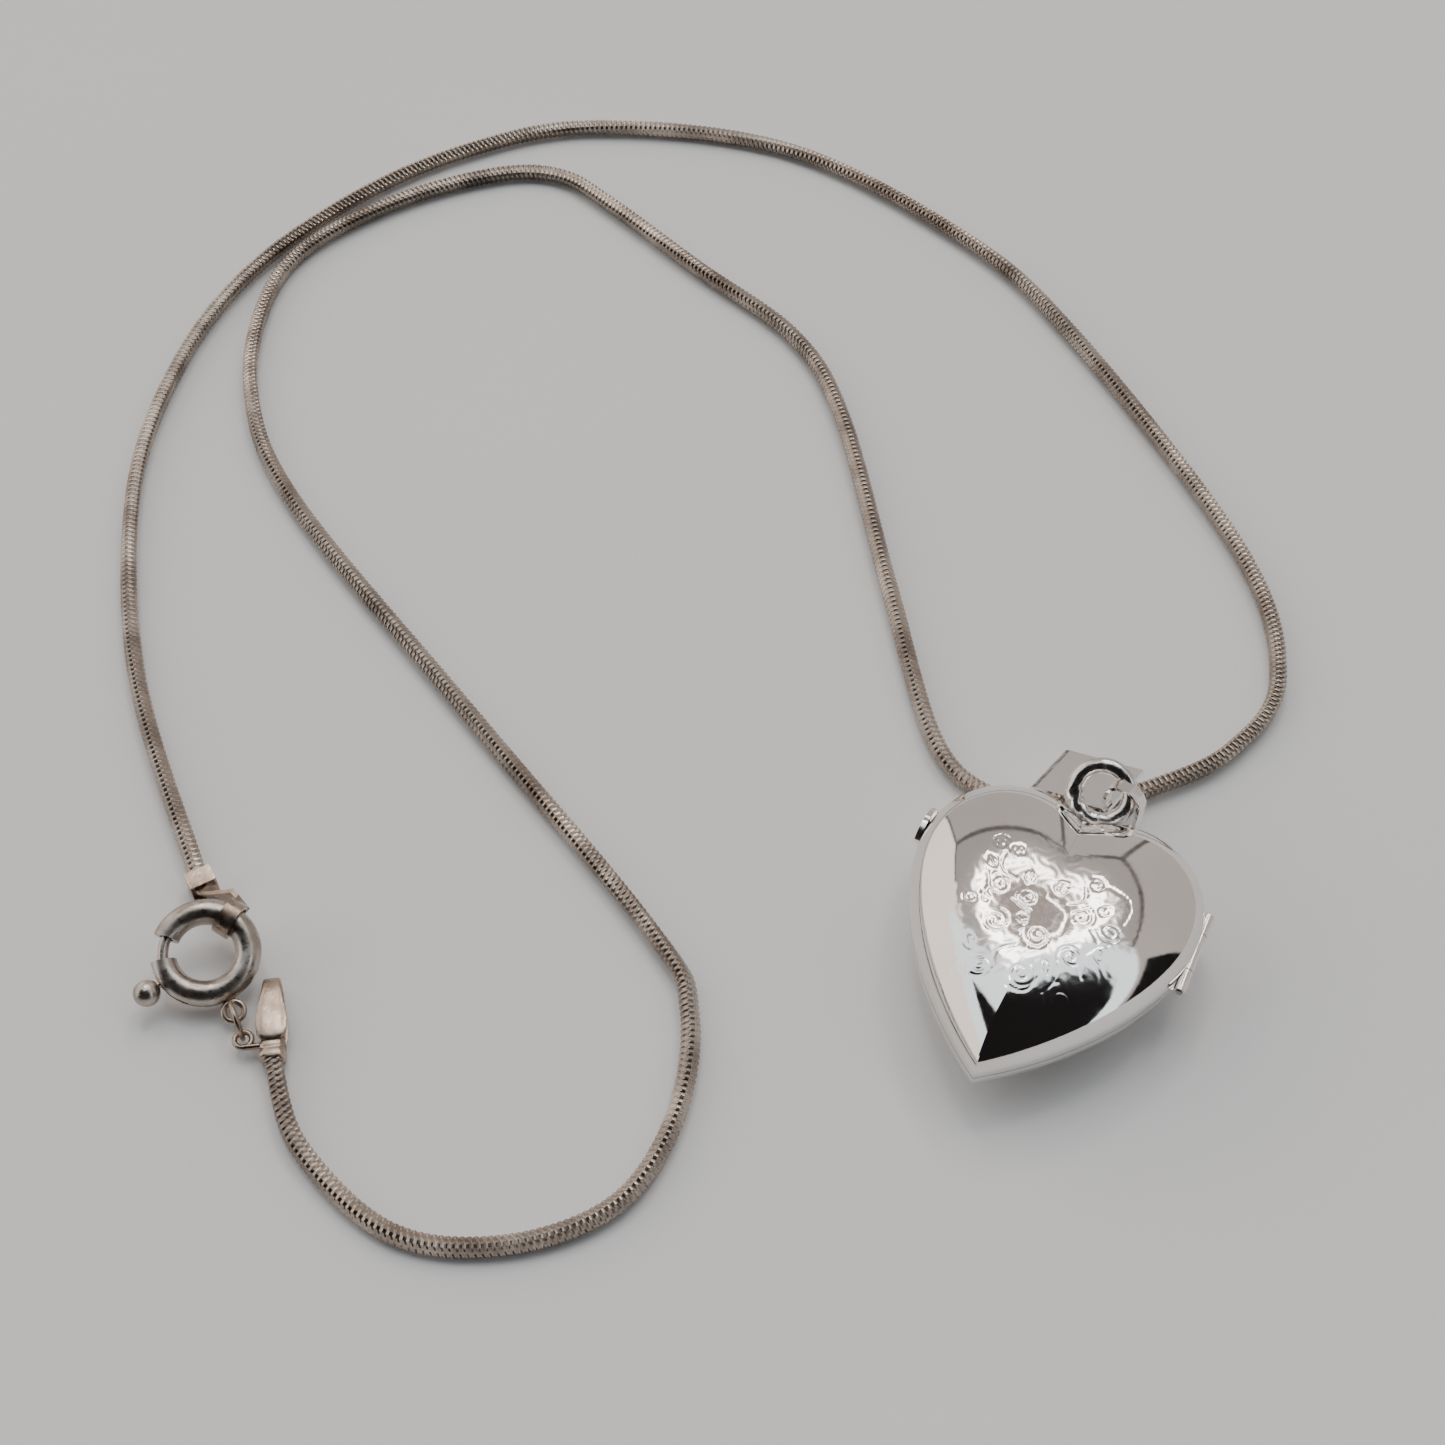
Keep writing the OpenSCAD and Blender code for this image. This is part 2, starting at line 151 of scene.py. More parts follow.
# ---------------------------------------------------------------- chain
CHAIN_ROUTE = [
    (-52.9, -21, 0.85), (-66.8, -8.4, 0.72), (-77.3, 6.2, 0.72), (-82, 18.8, 0.72),
    (-83.1, 30.4, 0.72), (-80.5, 42, 0.72), (-74.9, 52.6, 0.72), (-65.8, 60.9, 0.72),
    (-48.6, 65.6, 0.72), (-30.4, 61.4, 0.72), (-18, 54.2, 0.72), (1.2, 37.8, 0.72),
    (7.7, 27, 0.72), (6.6, 19.2, 0.72), (2.6, 13.6, 0.86), (-0.2, 11.1, 1.04), (-3.1, 9.1, 1.04),
    (-6.9, 8.2, 0.82), (-12.4, 10.9, 0.72), (-21, 22.8, 0.72), (-31.4, 37.6, 0.72),
    (-38.6, 44.1, 0.72), (-49, 48, 0.72), (-59.8, 52.2, 0.72), (-65.2, 53.6, 0.72),
    (-70.2, 51.6, 0.72), (-76.2, 45, 0.72), (-80.3, 36.4, 0.72), (-79.9, 28.8, 0.72),
    (-75.2, 19.4, 0.72), (-66, 11, 0.72), (-44, -0.8, 0.72), (-23.4, -11.6, 0.72),
    (-18.6, -15.8, 0.72), (-16.1, -22.8, 0.72), (-16.7, -29.6, 0.72), (-21.4, -34.8, 0.72),
    (-28.2, -37.2, 0.72), (-36.2, -34.8, 0.74), (-40.8, -30.5, 0.85),
]
RIB_PITCH = 0.436
RINGS_PER_RIB = 4
CHAIN_SIDES = 16
RIB_SLANT = 1.8
RIB_DEPTH = 0.14
CHAIN_HALF = 0.565
CORNER_POWER = 5
# Slow twists along the chain: size in radians, length of the wave over 2 pi, and start.
CHAIN_TWISTS = [(0.5, 31.0, 0.0), (0.35, 12.7, 1.0)]


def make_chain():
    """Square snake chain: a slowly twisting square tube whose links show as slanting ribs."""
    route, along = even_steps(spline(CHAIN_ROUTE, 24), RIB_PITCH / RINGS_PER_RIB)
    _, side, up = frames_along(route)
    twist = sum(size * np.sin(along / wave + start) for size, wave, start in CHAIN_TWISTS)
    rings = []
    for i in range(len(route)):
        angles = 2 * math.pi * (np.arange(CHAIN_SIDES) + 0.5) / CHAIN_SIDES
        corners = np.abs(np.cos(angles)) ** CORNER_POWER + np.abs(np.sin(angles)) ** CORNER_POWER
        square = corners ** (-1 / CORNER_POWER)
        face = np.abs(((angles / (math.pi / 2)) % 1) - 0.5)
        phase = along[i] / RIB_PITCH + RIB_SLANT * face
        rib = np.abs(np.sin(math.pi * phase))
        radius = CHAIN_HALF * square * (1 - RIB_DEPTH * (1 - rib))
        turned = angles + twist[i]
        rings.append(route[i] + radius[:, None] * (np.cos(turned)[:, None] * side[i]
                                                   + np.sin(turned)[:, None] * up[i]))
    chain = loft("snake_chain", rings, smooth=False)
    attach(chain, "root")
    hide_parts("chain")
    return chain, route, along[-1]


chain, chain_route, chain_length = make_chain()

# ---------------------------------------------------------------- heart
HEART_W = 9.35
HEART_H = 10
LOBE_RISE = 6.6
TIP_PULL = 1.4
SKEW = 1
HEART_Y = -4.1
DOME_H = 3.97
WALL = 0.45
RIM_H = 0.35
DOME_POWER = 2.5
CROWN_R = 8.3
CROWN_MIX = 0.85
SEAM_Z = 4.03
SEAM_GAP = 0.06
HINGE_X = 9.5
HINGE_Y = 0.2
HINGE_HALF = 3.25
HINGE_ROOM = 0.5
HINGE_ROOM_INSIDE = 0.65
RIM_RINGS = 3


def heart_outline(t, s):
    """Point of the heart's outline drawn in to the fraction s, for angles t from the notch."""
    outline = np.stack([
        HEART_W * np.sin(t) - SKEW * np.sin(2 * t),
        HEART_H * np.cos(t) + (LOBE_RISE - TIP_PULL * np.cos(t)) * np.abs(np.sin(t)),
    ], axis=1)
    crown = CROWN_R * np.stack([np.sin(t), np.cos(t)], axis=1)
    mix = CROWN_MIX * (1 - s)
    return s * ((1 - mix) * outline + mix * crown)


def dome_rings(height, s_rim, around, steps):
    """Rings from the seam at z = 0 up to the crown of one domed half."""
    t = 2 * math.pi * np.arange(around) / around
    rings = [np.column_stack([heart_outline(t, 1.0) * s_rim, np.zeros(around)])]
    for k in range(steps + 1):
        s = math.sin(math.pi / 2 * (1 - k / steps)) * 0.995 + 0.005
        rise = (height - RIM_H) * math.sqrt(max(0.0, 1 - s ** DOME_POWER))
        rings.append(np.column_stack([heart_outline(t, s) * s_rim, np.full(around, RIM_H + rise)]))
    for ring in rings:
        ring[:, 1] += HEART_Y
    return rings


# Engraved scrolls on the cover: centre, radius, angle where the curl starts, and turning sense.
SCROLLS = [
    (-3.3, -9.1, 0.5, 100, -1), (-2.1, -8.4, 0.75, 250, 1), (0.4, -8.1, 1.0, 70, -1),
    (3.2, -8.5, 1.1, 120, 1), (-3.1, -2.6, 0.85, 120, 1), (-1.1, -2.9, 0.9, 300, -1),
    (-2.4, -5.3, 0.95, 80, -1), (0.4, -5.3, 1.0, 180, 1),
    (2.4, -2.8, 0.9, 100, -1), (4.4, -2.9, 0.85, 200, 1), (2.8, -5.7, 0.9, 220, -1), (-4.2, 0.6, 0.65, 40, 1),
    (-2.9, 0.4, 0.6, 200, -1), (2.5, 0.0, 0.65, 140, -1), (-4.4, -4.2, 0.55, 150, 1), (0.6, -1.3, 0.6, 60, 1),
]
# Engraved stems between the scrolls, each from one point to another with a bow to one side.
STEMS = [
    ((3.0, -9.6), (2.5, -11.2), 0.1), ((2.0, -8.6), (2.2, -6.6), -0.15), ((1.4, -7.9), (-0.2, -9.1), 0.3),
    ((-1.4, -8.3), (-0.6, -6.4), 0.25), ((-4.2, -1.9), (-4.9, -4.6), 0.3), ((-2.0, -3.4), (-0.6, -4.9), 0.3),
    ((0.0, -2.3), (1.6, -4.6), 0.3), ((3.3, -3.4), (3.6, -5.0), 0.3), ((4.6, -3.8), (3.9, -6.6), -0.25),
    ((-3.6, -0.1), (-2.2, -1.8), -0.3), ((1.9, -0.5), (1.4, -2.2), 0.3), ((3.1, 0.2), (4.9, -2.0), 0.35),
]
# Little pointed leaves: base, tip, and how far each side bows out as a share of the length.
LEAVES = [
    ((-4.6, -0.6), (-3.8, -1.5), 0.3), ((-1.6, -0.9), (-1.5, -1.8), 0.35), ((3.7, -1.2), (3.5, -2.1), 0.35),
    ((-3.6, -6.6), (-3.1, -7.6), 0.3), ((1.3, -6.6), (1.9, -7.4), 0.3), ((-1.0, -4.1), (-0.9, -4.8), 0.35),
    ((4.2, -4.4), (4.5, -5.2), 0.3), ((-3.9, -3.5), (-3.4, -4.2), 0.3),
]
GROOVE_DEPTH = 0.03
GROOVE_HALF = 0.075
RIPPLE = 0.0055
WORKED_MIDDLE = (0, -3.6)
WORKED_REACH = 6.4
WORKED_FADE = 1.2
# Waves of the worked ground, one along x and one along y: rate, bend, and rate of the bend.
RIPPLE_WAVES = ((5.1, 2.0, 3.3), (4.6, 1.7, 3.9))
GRAIN_WAVES = ((17, 3, 7), (15, 3, 8))
GRAIN_SHARE = 0.22
FAR_OFF = 9.0
BLOCK = 2000


def scroll_points(x, y, radius, start, sense):
    """A curl that winds in almost two turns."""
    turn = np.linspace(0, 3.5 * math.pi, 90)
    shrink = radius * (1 - 0.82 * (turn / turn[-1]) ** 0.8)
    angle = math.radians(start) + sense * turn
    return np.column_stack([x + shrink * np.cos(angle), y + shrink * np.sin(angle)])


def bowed_line(a, b, bow, count=40):
    a, b = np.array(a), np.array(b)
    along = b - a
    across = np.array([-along[1], along[0]])
    t = np.linspace(0, 1, count)[:, None]
    return a + along * t + across * bow * np.sin(math.pi * t)


def engraved_lines():
    lines = [scroll_points(*scroll) for scroll in SCROLLS]
    lines += [bowed_line(a, b, bow) for a, b, bow in STEMS]
    for base, tip, width in LEAVES:
        lines.append(bowed_line(base, tip, width, 24))
        lines.append(bowed_line(base, tip, -width, 24))
        lines.append(bowed_line(base, tip, 0, 24))
    return np.concatenate(lines)


def bent_waves(x, y, waves):
    """Two crossing waves multiplied, each bent by the other direction."""
    (rate_x, bend_x, turn_y), (rate_y, bend_y, turn_x) = waves
    return (np.sin(rate_x * x + bend_x * np.sin(turn_y * y))
            * np.sin(rate_y * y + bend_y * np.sin(turn_x * x)))


def engraved_drop(points):
    """How far each point of the cover is cut down: grooves, and ripples between them."""
    marks = engraved_lines()
    nearest = np.full(len(points), FAR_OFF)
    for start in range(0, len(points), BLOCK):
        block = points[start:start + BLOCK, None, :2] - marks[None, :, :]
        nearest[start:start + BLOCK] = np.sqrt((block ** 2).sum(axis=2)).min(axis=1)
    groove = GROOVE_DEPTH * np.exp(-(nearest / GROOVE_HALF) ** 2)
    x, y = points[:, 0], points[:, 1]
    from_middle = np.hypot(x - WORKED_MIDDLE[0], y - WORKED_MIDDLE[1])
    worked = np.clip((WORKED_REACH - from_middle) / WORKED_FADE, 0, 1)
    ground = bent_waves(x, y, RIPPLE_WAVES) + GRAIN_SHARE * bent_waves(x, y, GRAIN_WAVES)
    return groove + RIPPLE * worked * ground


def leave_hinge_room(ring, room):
    """Draws a shell's points in where the hinge barrel lies along the rim."""
    beside = np.abs(ring[:, 1] - HINGE_Y) < HINGE_HALF
    rise = np.abs(ring[:, 2] + SEAM_GAP / 2)
    depth = np.sqrt(np.maximum(room ** 2 - rise ** 2, 0))
    caught = beside & (rise < room) & (ring[:, 0] > HINGE_X - depth)
    ring[:, 0] = np.where(caught, HINGE_X - depth, ring[:, 0])


def make_shell(name, around, steps, front):
    """One half of the locket, with its sheet thickness and its rolled rim."""
    outer = dome_rings(DOME_H, 1.0, around, steps)
    inner_scale = 1 - WALL / HEART_W
    inner = dome_rings(DOME_H - WALL, inner_scale, around, max(10, steps // 4))
    if front:
        flat = np.concatenate(outer[RIM_RINGS:])
        flat[:, 2] -= engraved_drop(flat)
        outer = outer[:RIM_RINGS] + list(flat.reshape(len(outer) - RIM_RINGS, around, 3))
    for ring in outer:
        leave_hinge_room(ring, HINGE_ROOM)
    for ring in inner:
        leave_hinge_room(ring, HINGE_ROOM_INSIDE)
    rings = outer[::-1] + inner
    for ring in rings:
        ring[:, 2] = SEAM_Z + ring[:, 2] if front else SEAM_Z - SEAM_GAP - ring[:, 2]
    if not front:
        rings = rings[::-1]
    shell = loft(name, rings)
    sharp = shell.modifiers.new("rim", "EDGE_SPLIT")
    sharp.split_angle = math.radians(50)
    return shell


cover = make_shell("engraved_cover", 560, 110, True)
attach(cover, "cover")
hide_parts("front_shell")
back = make_shell("plain_back", 288, 40, False)
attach(back, "root")
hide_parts("back_shell")


# ---------------------------------------------------------------- hanging ring
RING_AT = (0.15, 8.5, 5.4)
RING_R = 1.87
RING_WIRE = 0.56
RING_LEAN = math.radians(45)
RING_STEPS = 144
RING_SIDES = 28
RING_WAVES = [(0.012, 5, 0), (0.01, 11, 1)]
# Lumps of solder: where on the ring in degrees, how wide in degrees, and how high.
RING_LUMPS = [(215, 26, 0.2), (250, 16, 0.16), (185, 14, 0.1), (285, 12, 0.12), (310, 18, 0.08)]


def make_ring():
    """Wire ring with the lumps that soldering left, tilted out of the locket's plane."""
    rings = []
    for i in range(RING_STEPS):
        a = 2 * math.pi * i / RING_STEPS
        lump = sum(high * math.sin(count * a + start) for high, count, start in RING_WAVES)
        for at, width, high in RING_LUMPS:
            away = (math.degrees(a) - at + 180) % 360 - 180
            lump += high * math.exp(-(away / width) ** 2)
        around = np.linspace(0, 2 * math.pi, RING_SIDES, endpoint=False)
        wire = RING_WIRE - 0.02 + lump * 0.5 * (0.8 + 0.5 * np.sin(3 * around + 9 * a))
        wire = np.minimum(wire, RING_WIRE + 0.1)
        reach = RING_R + wire * np.cos(around)
        flat = np.column_stack([reach * math.cos(a), reach * math.sin(a), wire * np.sin(around)])
        lean = np.array([[1, 0, 0], [0, math.cos(RING_LEAN), -math.sin(RING_LEAN)],
                         [0, math.sin(RING_LEAN), math.cos(RING_LEAN)]])
        rings.append(flat @ lean.T + RING_AT)
    ring = loft("hanging_ring_wire", rings, loop=True)
    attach(ring, "root")
    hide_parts("hanging_ring")
    return ring


ring = make_ring()


# ---------------------------------------------------------------- lower end cap
CAP_LOWER_AT = (-40.8, -30.5)
CAP_LOWER_TURN = math.radians(-57)
LUG_AT = (-1.55, -1.85, 1.1)
LUG_R = 0.55
LUG_WIRE = 0.18
STEM_R = 0.2
STEM_SIDES = 14
STEM_STOPS = (-1.3, -0.8)
COLLAR_MIDDLE = 0.85
# The strip folded on itself, from the upper leaf round the fold to the lower leaf: place along
# the cap, half width, height of the middle and half thickness.
FOLDED_LEAF = [
    (-1.1, 0.3, 1.55, 0.05), (-1.18, 0.64, 1.55, 0.12), (-1.5, 0.9, 1.56, 0.16), (-2.0, 1.0, 1.56, 0.17),
    (-2.8, 1.0, 1.54, 0.17), (-3.6, 0.88, 1.51, 0.15), (-4.5, 0.7, 1.48, 0.14), (-5.3, 0.57, 1.42, 0.13),
    (-5.58, 0.55, 1.27, 0.14), (-5.7, 0.53, 0.95, 0.15), (-5.58, 0.54, 0.5, 0.14), (-5.3, 0.56, 0.3, 0.12),
    (-4.4, 0.66, 0.26, 0.1), (-3.2, 0.82, 0.26, 0.1), (-2.2, 0.85, 0.26, 0.1), (-1.3, 0.8, 0.26, 0.1),
]
# Collar on the chain's end: place along it, half width and half height.
CAP_COLLAR = [
    (-1.3, 0.55, 0.55), (-1.25, 0.72, 0.66), (-1.0, 0.82, 0.72), (-0.75, 0.82, 0.72), (-0.68, 0.78, 0.69),
    (-0.55, 0.78, 0.69), (-0.48, 0.83, 0.73), (-0.1, 0.84, 0.74), (0.02, 0.78, 0.7), (0.05, 0.6, 0.55),
]


def turned_at(points, at, turn):
    """Points of a piece's own frame, turned about z and moved to its place."""
    x = at[0] + points[:, 0] * math.cos(turn) - points[:, 1] * math.sin(turn)
    y = at[1] + points[:, 0] * math.sin(turn) + points[:, 1] * math.cos(turn)
    return np.column_stack([x, y, points[:, 2]])


def leaf_rings(leaf):
    """Rings of a flat leaf that is bent in its own long direction."""
    middles = np.array([(x, 0, z) for x, _, z, _ in leaf])
    ahead = np.gradient(middles, axis=0)
    rings = []
    for (_, half, _, thick), middle, way in zip(leaf, middles, ahead):
        normal = np.array([-way[2], 0, way[0]]) / np.linalg.norm(way)
        rings.append(round_box_ring(middle, (0, half, 0), normal * thick))
    return rings


def wire_ring(middle, reach, wire, count=40, sides=14):
    """Rings of a flat round wire ring."""
    rings = []
    around = np.linspace(0, 2 * math.pi, sides, endpoint=False)
    for i in range(count):
        a = 2 * math.pi * i / count
        out = reach + wire * np.cos(around)
        rings.append(np.column_stack([out * math.cos(a), out * math.sin(a), wire * np.sin(around)]) + middle)
    return rings


def make_lower_cap():
    """Strip folded on itself and wrapped round the chain's end, with a lug for the link."""
    collar = [round_box_ring((x, 0, COLLAR_MIDDLE), (0, half, 0), (0, 0, high))
              for x, half, high in CAP_COLLAR]
    around = 2 * math.pi * np.arange(STEM_SIDES) / STEM_SIDES
    stem_x = LUG_AT[0] + LUG_R + STEM_R * np.cos(around)
    stem_z = LUG_AT[2] + STEM_R * np.sin(around)
    stem = [np.column_stack([stem_x, np.full(STEM_SIDES, y), stem_z]) for y in (LUG_AT[1], *STEM_STOPS)]
    points, faces = joined([
        skin(leaf_rings(FOLDED_LEAF)), skin(collar),
        skin(wire_ring(LUG_AT, LUG_R, LUG_WIRE), loop=True), skin(stem),
    ])
    cap = mesh_object("folded_end_cap", turned_at(points, CAP_LOWER_AT, CAP_LOWER_TURN), faces)
    sharp = cap.modifiers.new("edges", "EDGE_SPLIT")
    sharp.split_angle = math.radians(55)
    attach(cap, "root")
    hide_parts("end_cap_lower")
    return cap


lower_cap = make_lower_cap()


# ---------------------------------------------------------------- materials
def new_material(name):
    material = bpy.data.materials.new(name)
    material.use_nodes = True
    nodes = material.node_tree.nodes
    return material, nodes, material.node_tree.links, nodes["Principled BSDF"]


def object_noise(nodes, links, scale, detail=4.0, stretch=(1, 1, 1)):
    """Noise fixed to the object, with its scale in features per metre."""
    place = nodes.new("ShaderNodeTexCoord")
    mapping = nodes.new("ShaderNodeMapping")
    mapping.inputs["Scale"].default_value = stretch
    noise = nodes.new("ShaderNodeTexNoise")
    noise.inputs["Scale"].default_value = scale
    noise.inputs["Detail"].default_value = detail
    links.new(place.outputs["Object"], mapping.inputs["Vector"])
    links.new(mapping.outputs["Vector"], noise.inputs["Vector"])
    return noise.outputs["Fac"]


def ramp(nodes, links, value, stops):
    node = nodes.new("ShaderNodeValToRGB")
    links.new(value, node.inputs["Fac"])
    node.color_ramp.elements[0].position = stops[0][0]
    node.color_ramp.elements[0].color = (*stops[0][1], 1)
    node.color_ramp.elements[1].position = stops[-1][0]
    node.color_ramp.elements[1].color = (*stops[-1][1], 1)
    for position, colour in stops[1:-1]:
        node.color_ramp.elements.new(position).color = (*colour, 1)
    return node.outputs["Color"]


def grey(value):
    return (value, value, value)


def add_bump(nodes, links, shader, height, distance, strength):
    bump = nodes.new("ShaderNodeBump")
    bump.inputs["Distance"].default_value = distance
    bump.inputs["Strength"].default_value = strength
    links.new(height, bump.inputs["Height"])
    links.new(bump.outputs["Normal"], shader.inputs["Normal"])


def near(nodes, links, middle_mm, inner_mm, outer_mm):
    """1 within inner_mm of a point of the object, 0 beyond outer_mm."""
    place = nodes.new("ShaderNodeTexCoord")
    distance = nodes.new("ShaderNodeVectorMath")
    distance.operation = "DISTANCE"
    links.new(place.outputs["Object"], distance.inputs[0])
    distance.inputs[1].default_value = tuple(v * MM for v in middle_mm)
    node = nodes.new("ShaderNodeMapRange")
    node.interpolation_type = "SMOOTHSTEP"
    links.new(distance.outputs["Value"], node.inputs["Value"])
    node.inputs["From Min"].default_value = outer_mm * MM
    node.inputs["From Max"].default_value = inner_mm * MM
    return node.outputs["Result"]


def mixed(nodes, links, mask, a, b):
    """Colour a where the mask is 0 and the plain colour b where it is 1."""
    node = nodes.new("ShaderNodeMix")
    node.data_type = "RGBA"
    links.new(mask, node.inputs["Factor"])
    links.new(a, node.inputs["A"])
    node.inputs["B"].default_value = (*b, 1)
    return node.outputs["Result"]


def silver(name, light, dark, rough, bump_mm, grain, patch, split=(0.35, 0.7), spot=None):
    """Silver between a clean and a tarnished colour, with rough from least to most.

    grain and patch are the fine and the coarse noise in features per metre, split the part of the
    coarse noise over which the colour changes.

    spot is a place with its own look: middle, inner and outer reach in mm, colour and roughness."""
    material, nodes, links, shader = new_material(name)
    shader.inputs["Metallic"].default_value = 1.0
    patches = object_noise(nodes, links, patch, 5)
    colour = ramp(nodes, links, patches, [(split[0], dark), (split[1], light)])
    fine = object_noise(nodes, links, grain, 6)
    roughness = ramp(nodes, links, fine, [(0.35, grey(rough[0])), (0.75, grey(rough[1]))])
    if spot:
        middle, inner, outer, spot_colour, spot_rough = spot
        mask = near(nodes, links, middle, inner, outer)
        colour = mixed(nodes, links, mask, colour, spot_colour)
        roughness = mixed(nodes, links, mask, roughness, grey(spot_rough))
    links.new(colour, shader.inputs["Base Color"])
    links.new(roughness, shader.inputs["Roughness"])
    add_bump(nodes, links, shader, fine, bump_mm * MM, 0.5)
    return material


BRIGHT = (0.92, 0.89, 0.865)
BRIGHT_DARK = (0.82, 0.78, 0.75)
WARM_WHITE = (0.95, 0.925, 0.905)
polished = silver("polished_silver", BRIGHT, BRIGHT_DARK, rough=(0.03, 0.09), bump_mm=0.004,
                  grain=1600, patch=120)
engraved = silver("engraved_silver", BRIGHT, BRIGHT_DARK, rough=(0.03, 0.09), bump_mm=0.004,
                  grain=1600, patch=120,
                  spot=((0, -3.6, 7.4), 4.6, 6.8, (0.90, 0.865, 0.845), 0.13))
worked = silver("worked_silver", WARM_WHITE, (0.84, 0.80, 0.775), rough=(0.10, 0.26), bump_mm=0.02,
                grain=1900, patch=500)
# The ring's dark spot at its lower right is painted shade, where the wire lies in the shadow between the ring
# and the locket's right lobe.
soldered_and_shaded = silver("soldered_silver_painted_shade", WARM_WHITE, (0.55, 0.51, 0.48), rough=(0.16, 0.32), bump_mm=0.08,
                  grain=1500, patch=900,
                  spot=((1.25, 6.9, 3.9), 0.5, 1.15, (0.05, 0.04, 0.035), 0.45))
dull = silver("dull_silver", (0.56, 0.50, 0.45), (0.27, 0.23, 0.20), rough=(0.24, 0.42), bump_mm=0.03,
              grain=2200, patch=420, split=(0.3, 0.62))
brassy = silver("warm_silver", (0.56, 0.45, 0.37), (0.25, 0.19, 0.15), rough=(0.24, 0.44), bump_mm=0.05,
                grain=1800, patch=520, split=(0.3, 0.6))
chain_metal = silver("chain_silver", (0.50, 0.425, 0.365), (0.20, 0.16, 0.135), rough=(0.22, 0.36),
                     bump_mm=0.01, grain=3000, patch=300, split=(0.3, 0.65))


def clear_plastic():
    material, nodes, links, shader = new_material("clear_plastic")
    shader.inputs["Base Color"].default_value = (0.95, 0.97, 0.98, 1)
    shader.inputs["Transmission Weight"].default_value = 1.0
    shader.inputs["IOR"].default_value = 1.49
    fine = object_noise(nodes, links, 900)
    links.new(ramp(nodes, links, fine, [(0.4, grey(0.03)), (0.8, grey(0.1))]), shader.inputs["Roughness"])
    return material


def plain_paper():
    material, nodes, links, shader = new_material("plain_paper")
    fibres = object_noise(nodes, links, 3000, 8)
    links.new(ramp(nodes, links, fibres, [(0.3, (0.80, 0.76, 0.68)), (0.7, (0.90, 0.87, 0.80))]),
              shader.inputs["Base Color"])
    shader.inputs["Roughness"].default_value = 0.85
    add_bump(nodes, links, shader, fibres, 0.02 * MM, 0.6)
    return material


def paint(piece, material):
    piece.data.materials.clear()
    piece.data.materials.append(material)


paint(chain, chain_metal)
paint(cover, engraved)
paint(back, polished)
paint(ring, soldered_and_shaded)
paint(lower_cap, brassy)
CAD_FINISH = {
    "back_frame": polished, "front_frame": polished, "hinge_knuckles_back": worked,
    "hinge_knuckle_front": worked, "hinge_pin": dull, "thumb_tab": worked, "snap_lip": polished,
    "ring_solder": soldered_and_shaded, "bail": polished, "end_cap_upper": brassy,
    "clasp_ring": dull, "clasp_bolt": dull, "clasp_spring": dull, "clasp_eye": brassy,
    "jump_link": brassy, "back_window": clear_plastic(), "front_window": clear_plastic(),
    "back_insert": plain_paper(), "front_insert": plain_paper(),
}
for node, material in CAD_FINISH.items():
    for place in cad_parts[node].material_slots:
        place.material = material
SOFT_EDGES_MM = {"bail": 0.06, "thumb_tab": 0.08, "end_cap_upper": 0.07, "hinge_knuckles_back": 0.05,
                 "hinge_knuckle_front": 0.05}
BEVEL_STEPS = 2
BEVEL_FROM = math.radians(40)
for node, width in SOFT_EDGES_MM.items():
    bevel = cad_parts[node].modifiers.new("soft_edges", "BEVEL")
    bevel.width = width * MM
    bevel.segments = BEVEL_STEPS
    bevel.limit_method = "ANGLE"
    bevel.angle_limit = BEVEL_FROM


# ---------------------------------------------------------------- floor and light
FLOOR_HALF = 1500.0


def make_floor():
    """A pale card, far larger than the necklace."""
    corners = [(x * FLOOR_HALF, y * FLOOR_HALF, 0) for x, y in ((-1, -1), (1, -1), (1, 1), (-1, 1))]
    floor = mesh_object("floor", corners, [(0, 1, 2, 3)], smooth=False)
    material, nodes, links, shader = new_material("pale_card")
    cloud = object_noise(nodes, links, 14, 3)
    links.new(ramp(nodes, links, cloud, [(0.3, (0.90, 0.90, 0.91)), (0.7, (0.93, 0.93, 0.935))]),
              shader.inputs["Base Color"])
    shader.inputs["Roughness"].default_value = 0.7
    shader.inputs["Specular IOR Level"].default_value = 0.2
    paint(floor, material)


make_floor()

# The light tent, as directions seen from the locket: right, away from the camera, and up.
TENT_RIGHT = (math.cos(CAMERA_TURN), math.sin(CAMERA_TURN), 0)
TENT_AWAY = (-math.sin(CAMERA_TURN), math.cos(CAMERA_TURN), 0)
TENT_LEFT_WALL = 0.36
TENT_RIGHT_WALL = 0.52
TENT_CEILING = 0.62
LIGHT_STRENGTH = 1.15
BACK_WALL = (0.47, 0.44, 0.42)
RIGHT_WALL = (0.50, 0.455, 0.425)
LEFT_WALL = (1.3, 1.17, 1.06)
ROOF = (0.40, 0.37, 0.35)
LAMP = (7.0, 6.5, 6.1)
LAMP_MIDDLE = (0.30, 0.245, 0.22)
SEAM_SHADOW = (0.06, 0.055, 0.05)
FRONT_HEM = (1.25, 1.36, 1.42)
DARK_ROOM = (0.012, 0.011, 0.011)
# Names with EDGE or DEPTH hold the values between which a shape fades in.
EDGE = 0.01
LAMP_AT = (0.13, 0.68)
LAMP_INNER_EDGE = (0.23, 0.29)
LAMP_OUTER_EDGE = (0.43, 0.36)
LAMP_MIDDLE_EDGE = (0.28, 0.20)
SEAM_EDGE = (0.05, 0.02)
SEAM_STRENGTH = 0.85
OFF_THE_WALLS = 9.0
HEM_SLANT = 0.35
HEM_CURVE = 1.35
HEM_LEFT_FROM = 0.3
HEM_LEFT_TO = 0.6
HEM_LEFT_DIP = 0.5
HEM_LEFT_RISE = 2.1
HEM_EDGE = (0.36, 0.30)
OPENING_EDGE = (0.04, 0.0)
PAST_HEM_LEAN = 0.5
PAST_HEM_EDGE = (0.56, 0.60)
PAST_HEM_DEPTH = (-0.02, -0.06)


